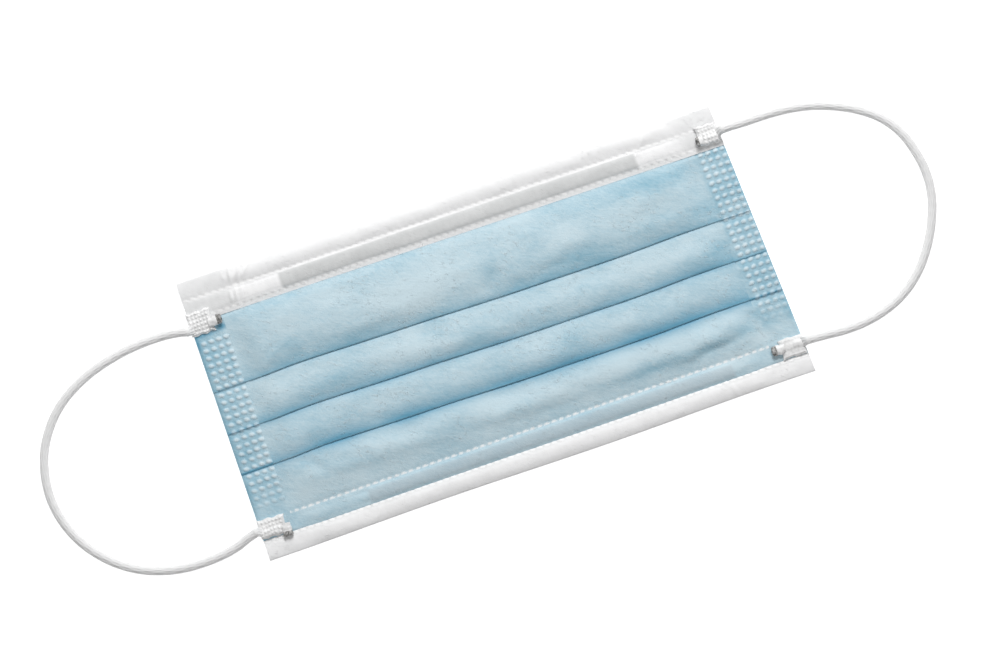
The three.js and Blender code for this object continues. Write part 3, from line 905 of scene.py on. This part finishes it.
def make_hem(name, line, welds, channel, turned):
    """A hem: the white ply from its edge on the front, round the mask's edge and along the back."""
    path = through(line, 0.3)
    front = np.arange(len(path)) < np.argmax(path[:, 1] < 0.4)
    keep = front | (np.arange(len(path)) % 3 == 0) | (np.arange(len(path)) == len(path) - 1)
    path, front = path[keep], front[keep]
    stations = column_stations(0, TOP_WIDTH, 0.4)
    x, y = np.meshgrid(stations, path[:, 0], indexing="ij")
    z = np.broadcast_to(path[:, 1], x.shape).copy()
    turn_y = TOP_Y + 0.2 if path[0, 0] > 0 else BOTTOM_Y
    on_front = front[None, :].astype(float)
    press = pressed(x) * 0.75
    z = z * (1 - press * on_front) + (0.75 + 0.28 * (z - 0.75)) * press * on_front
    wire = np.zeros(x.shape)
    if channel:
        lift = window(x, STIFFENER_FROM, STIFFENER_TO, 1.4)
        inside = window(y, channel[0], channel[1], 0.7) * on_front
        z -= inside * (1 - lift) * 0.25 * (1 - press)
        # Greyer where the wire shows through, towards both ends of the hem, and a little across the strip
        # above the top weld.
        outside = smooth((20 - x) / 9) + smooth((x - TOP_WIDTH + 16) / 7)
        wire = inside * np.maximum(lift, 0.36 * outside) + 0.22 * outside * on_front
        wire = wire + 0.06 * on_front * window(y, WELD_TOP + 0.8, TOP_Y + 1, 0.8)
    # Painted shade along the groove of each weld line, left off the raised dashes.
    weld_groove_shade = np.zeros(x.shape)
    relief = 0.13 * ripple(x / 8, y / 3.4, 21) + 0.05 * ripple(x / 2.2, y / 1.8, 22)
    relief = relief + creases(HEM_CREASES, x, y)
    weld = np.zeros(x.shape)
    held = np.ones(x.shape)
    for height in welds:
        held *= smooth(np.abs(y - height) / 1.2 + 0.25)
        weld = np.maximum(weld, dash_mask(x, y, height))
        shade = 0.28 if height == WELD_TOP else 0.48
        weld_groove_shade = np.maximum(weld_groove_shade, shade * np.exp(-(((y - height) / 0.6) ** 2)))
    free = smooth(np.abs(y - path[0, 0]) / 1.6)
    z += relief * held * free * on_front * window(y, BOTTOM_Y - 1, TOP_Y + 1, 1.6)
    for height in welds:
        z += pucker(x, y, height) * on_front
    weld *= on_front
    # Painted shade along the groove of each weld line and along the hem's rolled edge.
    wire = np.maximum(wire, (weld_groove_shade * (1 - weld) + 0.35 * np.exp(-np.abs(y - turn_y) / 0.7)) * on_front)
    z += weld * 0.16
    z = np.maximum(z, 0.13)
    ny, nz = normals_of(y, z)
    ny, nz = (ny, nz) if not turned else (-ny, -nz)
    half = 0.015 + 0.085 * smooth(np.abs(y - path[0, 0]) / 0.9 + (1 - on_front))
    outer = lay(x, y + ny * half, z + nz * half)
    inner = lay(x, y - ny * half, z - nz * half)
    outer[..., 2] = np.maximum(outer[..., 2], 0.00001)
    size = (len(stations), len(path))
    verts = np.concatenate([outer.reshape(-1, 3), inner.reshape(-1, 3)])
    faces = [
        grid_faces(*size, flip=not turned),
        grid_faces(*size, offset=x.size, flip=turned),
        rim_faces(*size)[:, :: -1 if turned else 1],
    ]
    double = {"weld": np.tile(weld.ravel(), 2), "wire": np.tile(wire.ravel(), 2)}
    piece = build(name, verts, np.vstack(faces), [finish("white")], layers=double, sharp=70)
    return piece


# ---- the wire and the strip ----
def make_stiffener(name, middle, width, material, slide):
    """A flat bar with rounded sides and two thin wires standing proud in its coat."""
    sides = 40
    turns = np.linspace(0, 2 * math.pi, sides, endpoint=False)
    wide = np.sign(np.cos(turns)) * np.abs(np.cos(turns)) ** 0.7 * width / 2
    thick = 0.27 * np.sign(np.sin(turns)) * np.abs(np.sin(turns)) ** 0.6
    thick = thick + 0.09 * np.sin(turns) * np.exp(-(((np.abs(wide) - width * 0.3) / 0.35) ** 2))
    x = column_stations(STIFFENER_FROM, STIFFENER_TO, 2.0)
    x = np.concatenate([[x[0]], x, [x[-1]]])
    shrink = np.concatenate([[0.02], np.ones(len(x) - 2), [0.02]])
    y = middle + wide[None, :] * shrink[:, None]
    z = 0.68 + thick[None, :] * shrink[:, None]
    verts = lay(x[:, None] + slide + 0 * y, y, z)
    quads = ring_faces(len(x), sides)
    return build(name, verts.reshape(-1, 3), quads[:, ::-1], [material])


# ---- the ear loops ----
def along_and_round(reach, turns):
    """The place of each point of a tube along it, in metres, and round it."""
    return np.stack(np.broadcast_arrays(reach * MM, (turns / math.pi)[None, :]), -1).reshape(-1, 2)


def tube(name, route, radius, sides, step):
    """A round elastic along its route, with its middle line and its length in metres."""
    line = through(np.array(route), step)
    tangent = np.gradient(line, axis=0)
    tangent /= np.linalg.norm(tangent, axis=1)[:, None]
    across = np.cross(tangent, (0, 0, 1))
    across /= np.linalg.norm(across, axis=1)[:, None]
    upward = np.cross(across, tangent)
    turns = np.linspace(0, 2 * math.pi, sides, endpoint=False)
    turned = turns[None, :, None]
    ring = across[:, None, :] * np.cos(turned) + upward[:, None, :] * np.sin(turned)
    run = np.concatenate([[0], np.cumsum(np.linalg.norm(np.diff(line, axis=0), axis=1))])
    verts = (line[:, None, :] + ring * radius).reshape(-1, 3)
    quads = ring_faces(len(line), sides)
    piece = build(name, verts * MM, quads[:, ::-1], [finish("knit")], uv=along_and_round(run[:, None], turns))
    return piece, line * MM, float(run[-1] * MM)


# ---- the welded loop ends ----
# Outer and inner end of the pad, its low and high side, the stub's place across the mask, the heights it
# lies on, how strongly it is knurled, and the stub's direction in degrees and its length.
LOOP_ENDS = (
    ("top_left", -90.4, -83.0, 28.1, 35.5, 30.9, (1.0, 1.35), 1.05, 0, 3.1),
    ("bottom_left", -90.2, -81.7, -38.7, -32.7, -37.0, (1.05, 1.05), 1.0, -94, 2.9),
    ("top_right", 85.1, 78.6, 32.9, 39.4, 34.9, (1.5, 1.5), 0.8, 0, 1.0),
    ("bottom_right", 89.4, 81.9, -38.0, -31.8, -34.5, (1.05, 1.05), 0.22, 0, 3.0),
)
CORD_ENDS = {
    "top_left": LEFT_ROUTE[0],
    "bottom_left": LEFT_ROUTE[-1],
    "top_right": RIGHT_ROUTE[0],
    "bottom_right": RIGHT_ROUTE[-1],
}


def make_loop_pad(name, outer, inner, low, high, stub, heights, knurl):
    """The flattened end: thin at its rim, pressed with small studs, swelling where the cord runs in."""
    side = math.copysign(1, outer)
    n = 56
    s, t = np.meshgrid(np.linspace(0, 1, n), np.linspace(0, 1, n), indexing="ij")
    ragged = 0.22 * ripple(t * 5 + outer, s * 0, 31)
    x = outer + (inner - outer) * s
    x = x - side * ragged * (1 - np.abs(2 * s - 1)) * 0.5 - side * 0.5 * s * (np.abs(2 * t - 1) ** 4)
    y = low + (high - low) * t + 0.28 * ripple(s * 5, t * 0 + stub, 32) * np.abs(2 * t - 1) ** 2
    rest = heights[0] + (heights[1] - heights[0]) * smooth((y - TOP_HEM_Y + 1.0) / 1.6)
    edge = np.minimum(np.minimum(s, 1 - s) * abs(inner - outer), np.minimum(t, 1 - t) * (high - low))
    body = 0.28 + 0.42 * smooth(edge / 0.7)
    wander = 0.9 * ripple(x / 2.2, y / 2.2, 34)
    columns = 1 + np.cos(x * 2 * math.pi / 1.15 + wander)
    studs = columns * (1 + np.cos(y * 2 * math.pi / 1.3 - wander)) / 4
    swell = 0.95 * smooth(1.35 - s * 1.1) * np.exp(-(((y - stub) / 1.35) ** 2))
    z = rest + body + 0.26 * knurl * studs * smooth(edge / 0.5) + swell * 0.6
    z = z + 0.10 * ripple(x / 1.7, y / 1.7, 33)
    top = np.stack([x, y, z], -1).reshape(-1, 3)
    base = np.stack([x, y, rest - 0.25], -1).reshape(-1, 3)
    quads = np.vstack([grid_faces(n, n), grid_faces(n, n, offset=n * n, flip=True), rim_faces(n, n)])
    quads = quads[:, ::-1] if side > 0 else quads
    piece = build(name, np.vstack([top, base]) * MM, quads, [finish("pad")], sharp=60)
    return piece


def make_neck(name, end, inner, stub, height):
    """Where the round elastic spreads out flat into its weld."""
    start = np.array(end, float)
    side = -math.copysign(1, inner)
    reach = np.array([-0.7, 0.0, 0.4, 0.9, 1.5, 2.2, 3.0])
    flatten = smooth(reach / 2.6)
    middle = np.stack([
        start[0] + side * reach, start[1] + (stub - start[1]) * smooth(reach / 3),
        start[2] + (height + 0.30 - start[2]) * smooth(reach / 2.4),
    ], -1)
    sides = 28
    turns = np.linspace(0, 2 * math.pi, sides, endpoint=False)
    wide = 1.42 * (1 + 0.35 * flatten)
    thick = 1.42 * (1 - 0.74 * flatten)
    y = middle[:, 1:2] + np.cos(turns)[None, :] * wide[:, None]
    z = middle[:, 2:3] + np.sin(turns)[None, :] * thick[:, None]
    x = middle[:, 0:1] + 0 * y
    quads = ring_faces(len(reach), sides)
    quads = quads if side > 0 else quads[:, ::-1]
    verts = np.stack([x, y, z], -1).reshape(-1, 3) * MM
    piece = build(name, verts, quads, [finish("knit")], uv=along_and_round(reach[:, None], turns))
    return piece


def make_stub(name, inner, stub, height, aim, length):
    """The short cut end of the elastic beyond its weld: squashed, frayed, grey where it was cut, with painted
    shadow inside its open end.
    """
    side = -math.copysign(1, inner)
    radius = 1.45
    line = np.linspace(-1.2, length - 0.4, 18)
    sides = 32
    turns = np.linspace(0, 2 * math.pi, sides, endpoint=False)
    reach = line[:, None] + 0 * turns
    swell = radius * (0.80 + 0.2 * smooth((line + 1.2) / 1.6))[:, None] + 0 * turns
    rounded = np.array([1.0, 0.92, 0.74, 0.42, 0.02])
    cap = np.array([0.0, 0.2, 0.34, 0.42, 0.38])
    reach = np.vstack([reach, line[-1] + cap[:, None] + 0.12 * np.sin(3 * turns)[None, :]])
    swell = np.vstack([swell, rounded[:, None] * swell[-1][None, :]])
    lumps = ripple(reach * 1.6 + inner, np.cos(turns)[None, :] * 2 + stub, 41)
    swell = swell * (1 + 0.14 * lumps)
    across = np.cos(turns)[None, :] * swell * 1.08
    x = inner + side * (reach * math.cos(aim) - across * math.sin(aim))
    y = stub + reach * math.sin(aim) + across * math.cos(aim)
    z = height + radius * 0.62 + np.sin(turns)[None, :] * swell * 0.7
    verts = np.stack(np.broadcast_arrays(x, y, z), -1)
    quads = ring_faces(len(verts), sides)
    quads = quads if side > 0 else quads[:, ::-1]
    # The last rows take the cut end's finish, with its painted shadow.
    cut = (np.repeat(np.arange(len(verts) - 1), sides) >= len(line) - 6).astype(int)
    piece = build(
        name, verts.reshape(-1, 3) * MM, quads, [finish("pad"), finish("cut")], cut,
        uv=along_and_round(reach, turns), sharp=75,
    )
    return piece


# ---- operators ----
# How far the camera is turned about the vertical, in degrees, and how wide it sees, in metres.
VIEW_TURN = -18.85
VIEW_WIDTH = 0.3087


class MaskOperator:
    bl_options = {"REGISTER", "UNDO"}


class MASK_OT_stage(MaskOperator, bpy.types.Operator):
    """Camera straight above the mask, soft lights and a pale surface"""

    bl_idname = "mask.stage"
    bl_label = "Stage"

    def execute(self, context):
        scene = context.scene
        scene.view_settings.view_transform = "Standard"
        scene.view_settings.look = "None"
        turn = math.radians(VIEW_TURN)
        lens = bpy.data.cameras.new("camera")
        lens.sensor_width = 36
        lens.lens = 120
        lens.clip_start, lens.clip_end = 0.01, 10
        camera = bpy.data.objects.new("camera", lens)
        camera_height = VIEW_WIDTH * lens.lens / lens.sensor_width + 0.001
        camera.location = (-0.0001, 0.0006, camera_height)
        camera.rotation_euler = (0, 0, turn)
        scene.collection.objects.link(camera)
        scene.camera = camera

        up = (math.sin(-turn), math.cos(-turn))
        for name, distance, height, size, power in (
            ("key_light", 0.85, 0.75, 0.45, 10.6),
            ("fill_light", -0.5, 1.1, 1.2, 2.2),
        ):
            light = bpy.data.lights.new(name, "AREA")
            light.shape = "SQUARE"
            light.size = size
            light.energy = power
            lamp = bpy.data.objects.new(name, light)
            lamp.location = (up[0] * distance, up[1] * distance, height)
            lamp.rotation_euler = (math.atan2(distance, height) * -1, 0, turn)
            scene.collection.objects.link(lamp)

        world = bpy.data.worlds.new("studio")
        world.use_nodes = True
        world.node_tree.nodes["Background"].inputs[0].default_value = (1, 1, 1, 1)
        world.node_tree.nodes["Background"].inputs[1].default_value = 0.25
        scene.world = world

        mesh = bpy.data.meshes.new("floor")
        mesh.from_pydata([(-1, -1, 0), (1, -1, 0), (1, 1, 0), (-1, 1, 0)], [], [(0, 1, 2, 3)])
        floor = bpy.data.objects.new("floor", mesh)
        floor.scale = (3, 3, 1)
        floor.location.z = -0.0001
        scene.collection.objects.link(floor)
        pale = Finish("pale_surface", Base_Color=(0.55, 0.55, 0.55, 1), Roughness=0.9, Specular_IOR_Level=0.1)
        pale.shader.inputs["Emission Color"].default_value = (1, 1, 1, 1)
        pale.shader.inputs["Emission Strength"].default_value = 0.8
        mesh.materials.append(pale.material)
        return {"FINISHED"}


class MASK_OT_ear_loops(MaskOperator, bpy.types.Operator):
    """The two round elastic ear loops, lying beside the mask"""

    bl_idname = "mask.ear_loops"
    bl_label = "Ear loops"

    def execute(self, context):
        diameter = sizes().loop_diameter
        for side, route in (("left", LEFT_ROUTE), ("right", RIGHT_ROUTE)):
            piece, line, length = tube(f"elastic_{side}", route, diameter / MM / 2, 24, 0.5)
            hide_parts(f"ear_loop_{side}")
        return {"FINISHED"}


class MASK_OT_plies(MaskOperator, bpy.types.Operator):
    """The pleated outer ply and lining, with the welded band at each end"""

    bl_idname = "mask.plies"
    bl_label = "Pleated plies"

    def execute(self, context):
        bands = [make_side_band("side_band_left", False), make_side_band("side_band_right", True)]
        outer, path = make_outer_ply()
        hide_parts("pleated_panel")
        lining = make_lining()
        return {"FINISHED"}


class MASK_OT_hems(MaskOperator, bpy.types.Operator):
    """The white ply turned over the nose edge and the chin edge"""

    bl_idname = "mask.hems"
    bl_label = "Hems"

    def execute(self, context):
        top = make_hem("nose_hem", TOP_HEM_LINE, (WELD_TOP, WELD_HEM), WIRE_CHANNEL, False)
        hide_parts("top_hem")
        bottom = make_hem("chin_hem", BOTTOM_HEM_LINE, (WELD_BOTTOM,), None, True)
        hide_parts("bottom_hem")
        return {"FINISHED"}


class MASK_OT_stiffeners(MaskOperator, bpy.types.Operator):
    """The coated nose wire and the plastic strip inside their channels"""

    bl_idname = "mask.stiffeners"
    bl_label = "Wire and strip"

    def execute(self, context):
        for node, slot, middle, width, slide, light, dark in (
            ("nose_wire", "coated_wire", 35.9, 3.6, 0.0, (0.72, 0.73, 0.73), (0.55, 0.56, 0.56)),
            ("chin_strip", "plastic_strip", -35.5, 3.0, STRIP_SLIDE, (0.8, 0.81, 0.81), (0.7, 0.71, 0.71)),
        ):
            coat = coated(f"{node}_coat", light, dark)
            piece = make_stiffener(f"{node}_bar", middle, width, coat, slide)
            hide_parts(node)
        return {"FINISHED"}


class MASK_OT_loop_ends(MaskOperator, bpy.types.Operator):
    """The flattened, welded ends of the ear loops with their cut stubs"""

    bl_idname = "mask.loop_ends"
    bl_label = "Loop ends"

    def execute(self, context):
        for place, outer, inner, low, high, stub, heights, knurl, aim, length in LOOP_ENDS:
            pad = make_loop_pad(f"pad_{place}", outer, inner, low, high, stub, heights, knurl)
            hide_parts(f"loop_end_{place}")
            make_stub(f"stub_{place}", inner, stub, heights[0], math.radians(aim), length)
            make_neck(f"neck_{place}", CORD_ENDS[place], inner, stub, heights[0])
        return {"FINISHED"}


class MASK_PT_pieces(bpy.types.Panel):
    bl_idname = "MASK_PT_pieces"
    bl_label = "Face Mask"
    bl_space_type = "VIEW_3D"
    bl_region_type = "UI"
    bl_category = "Face Mask"

    def draw(self, context):
        for group in (context.scene.mask_sizes, context.scene.mask_colours):
            column = self.layout.column()
            for name in group.bl_rna.properties.keys():
                if name not in {"rna_type", "name"}:
                    column.prop(group, name)
        for operator in OPERATORS:
            self.layout.operator(operator.bl_idname)


OPERATORS = (
    MASK_OT_stage,
    MASK_OT_ear_loops,
    MASK_OT_plies,
    MASK_OT_hems,
    MASK_OT_stiffeners,
    MASK_OT_loop_ends,
)
CLASSES = (MaskSizes, MaskColours, *OPERATORS, MASK_PT_pieces)


def register():
    for cls in CLASSES:
        bpy.utils.register_class(cls)
    bpy.types.Scene.mask_sizes = PointerProperty(type=MaskSizes)
    bpy.types.Scene.mask_colours = PointerProperty(type=MaskColours)


def unregister():
    del bpy.types.Scene.mask_sizes
    del bpy.types.Scene.mask_colours
    for cls in reversed(CLASSES):
        bpy.utils.unregister_class(cls)


def main():
    register()
    bpy.ops.mask.stage()
    bpy.ops.mask.ear_loops()
    bpy.ops.mask.plies()
    bpy.ops.mask.hems()
    bpy.ops.mask.stiffeners()
    bpy.ops.mask.loop_ends()


if __name__ == "__main__":
    main()
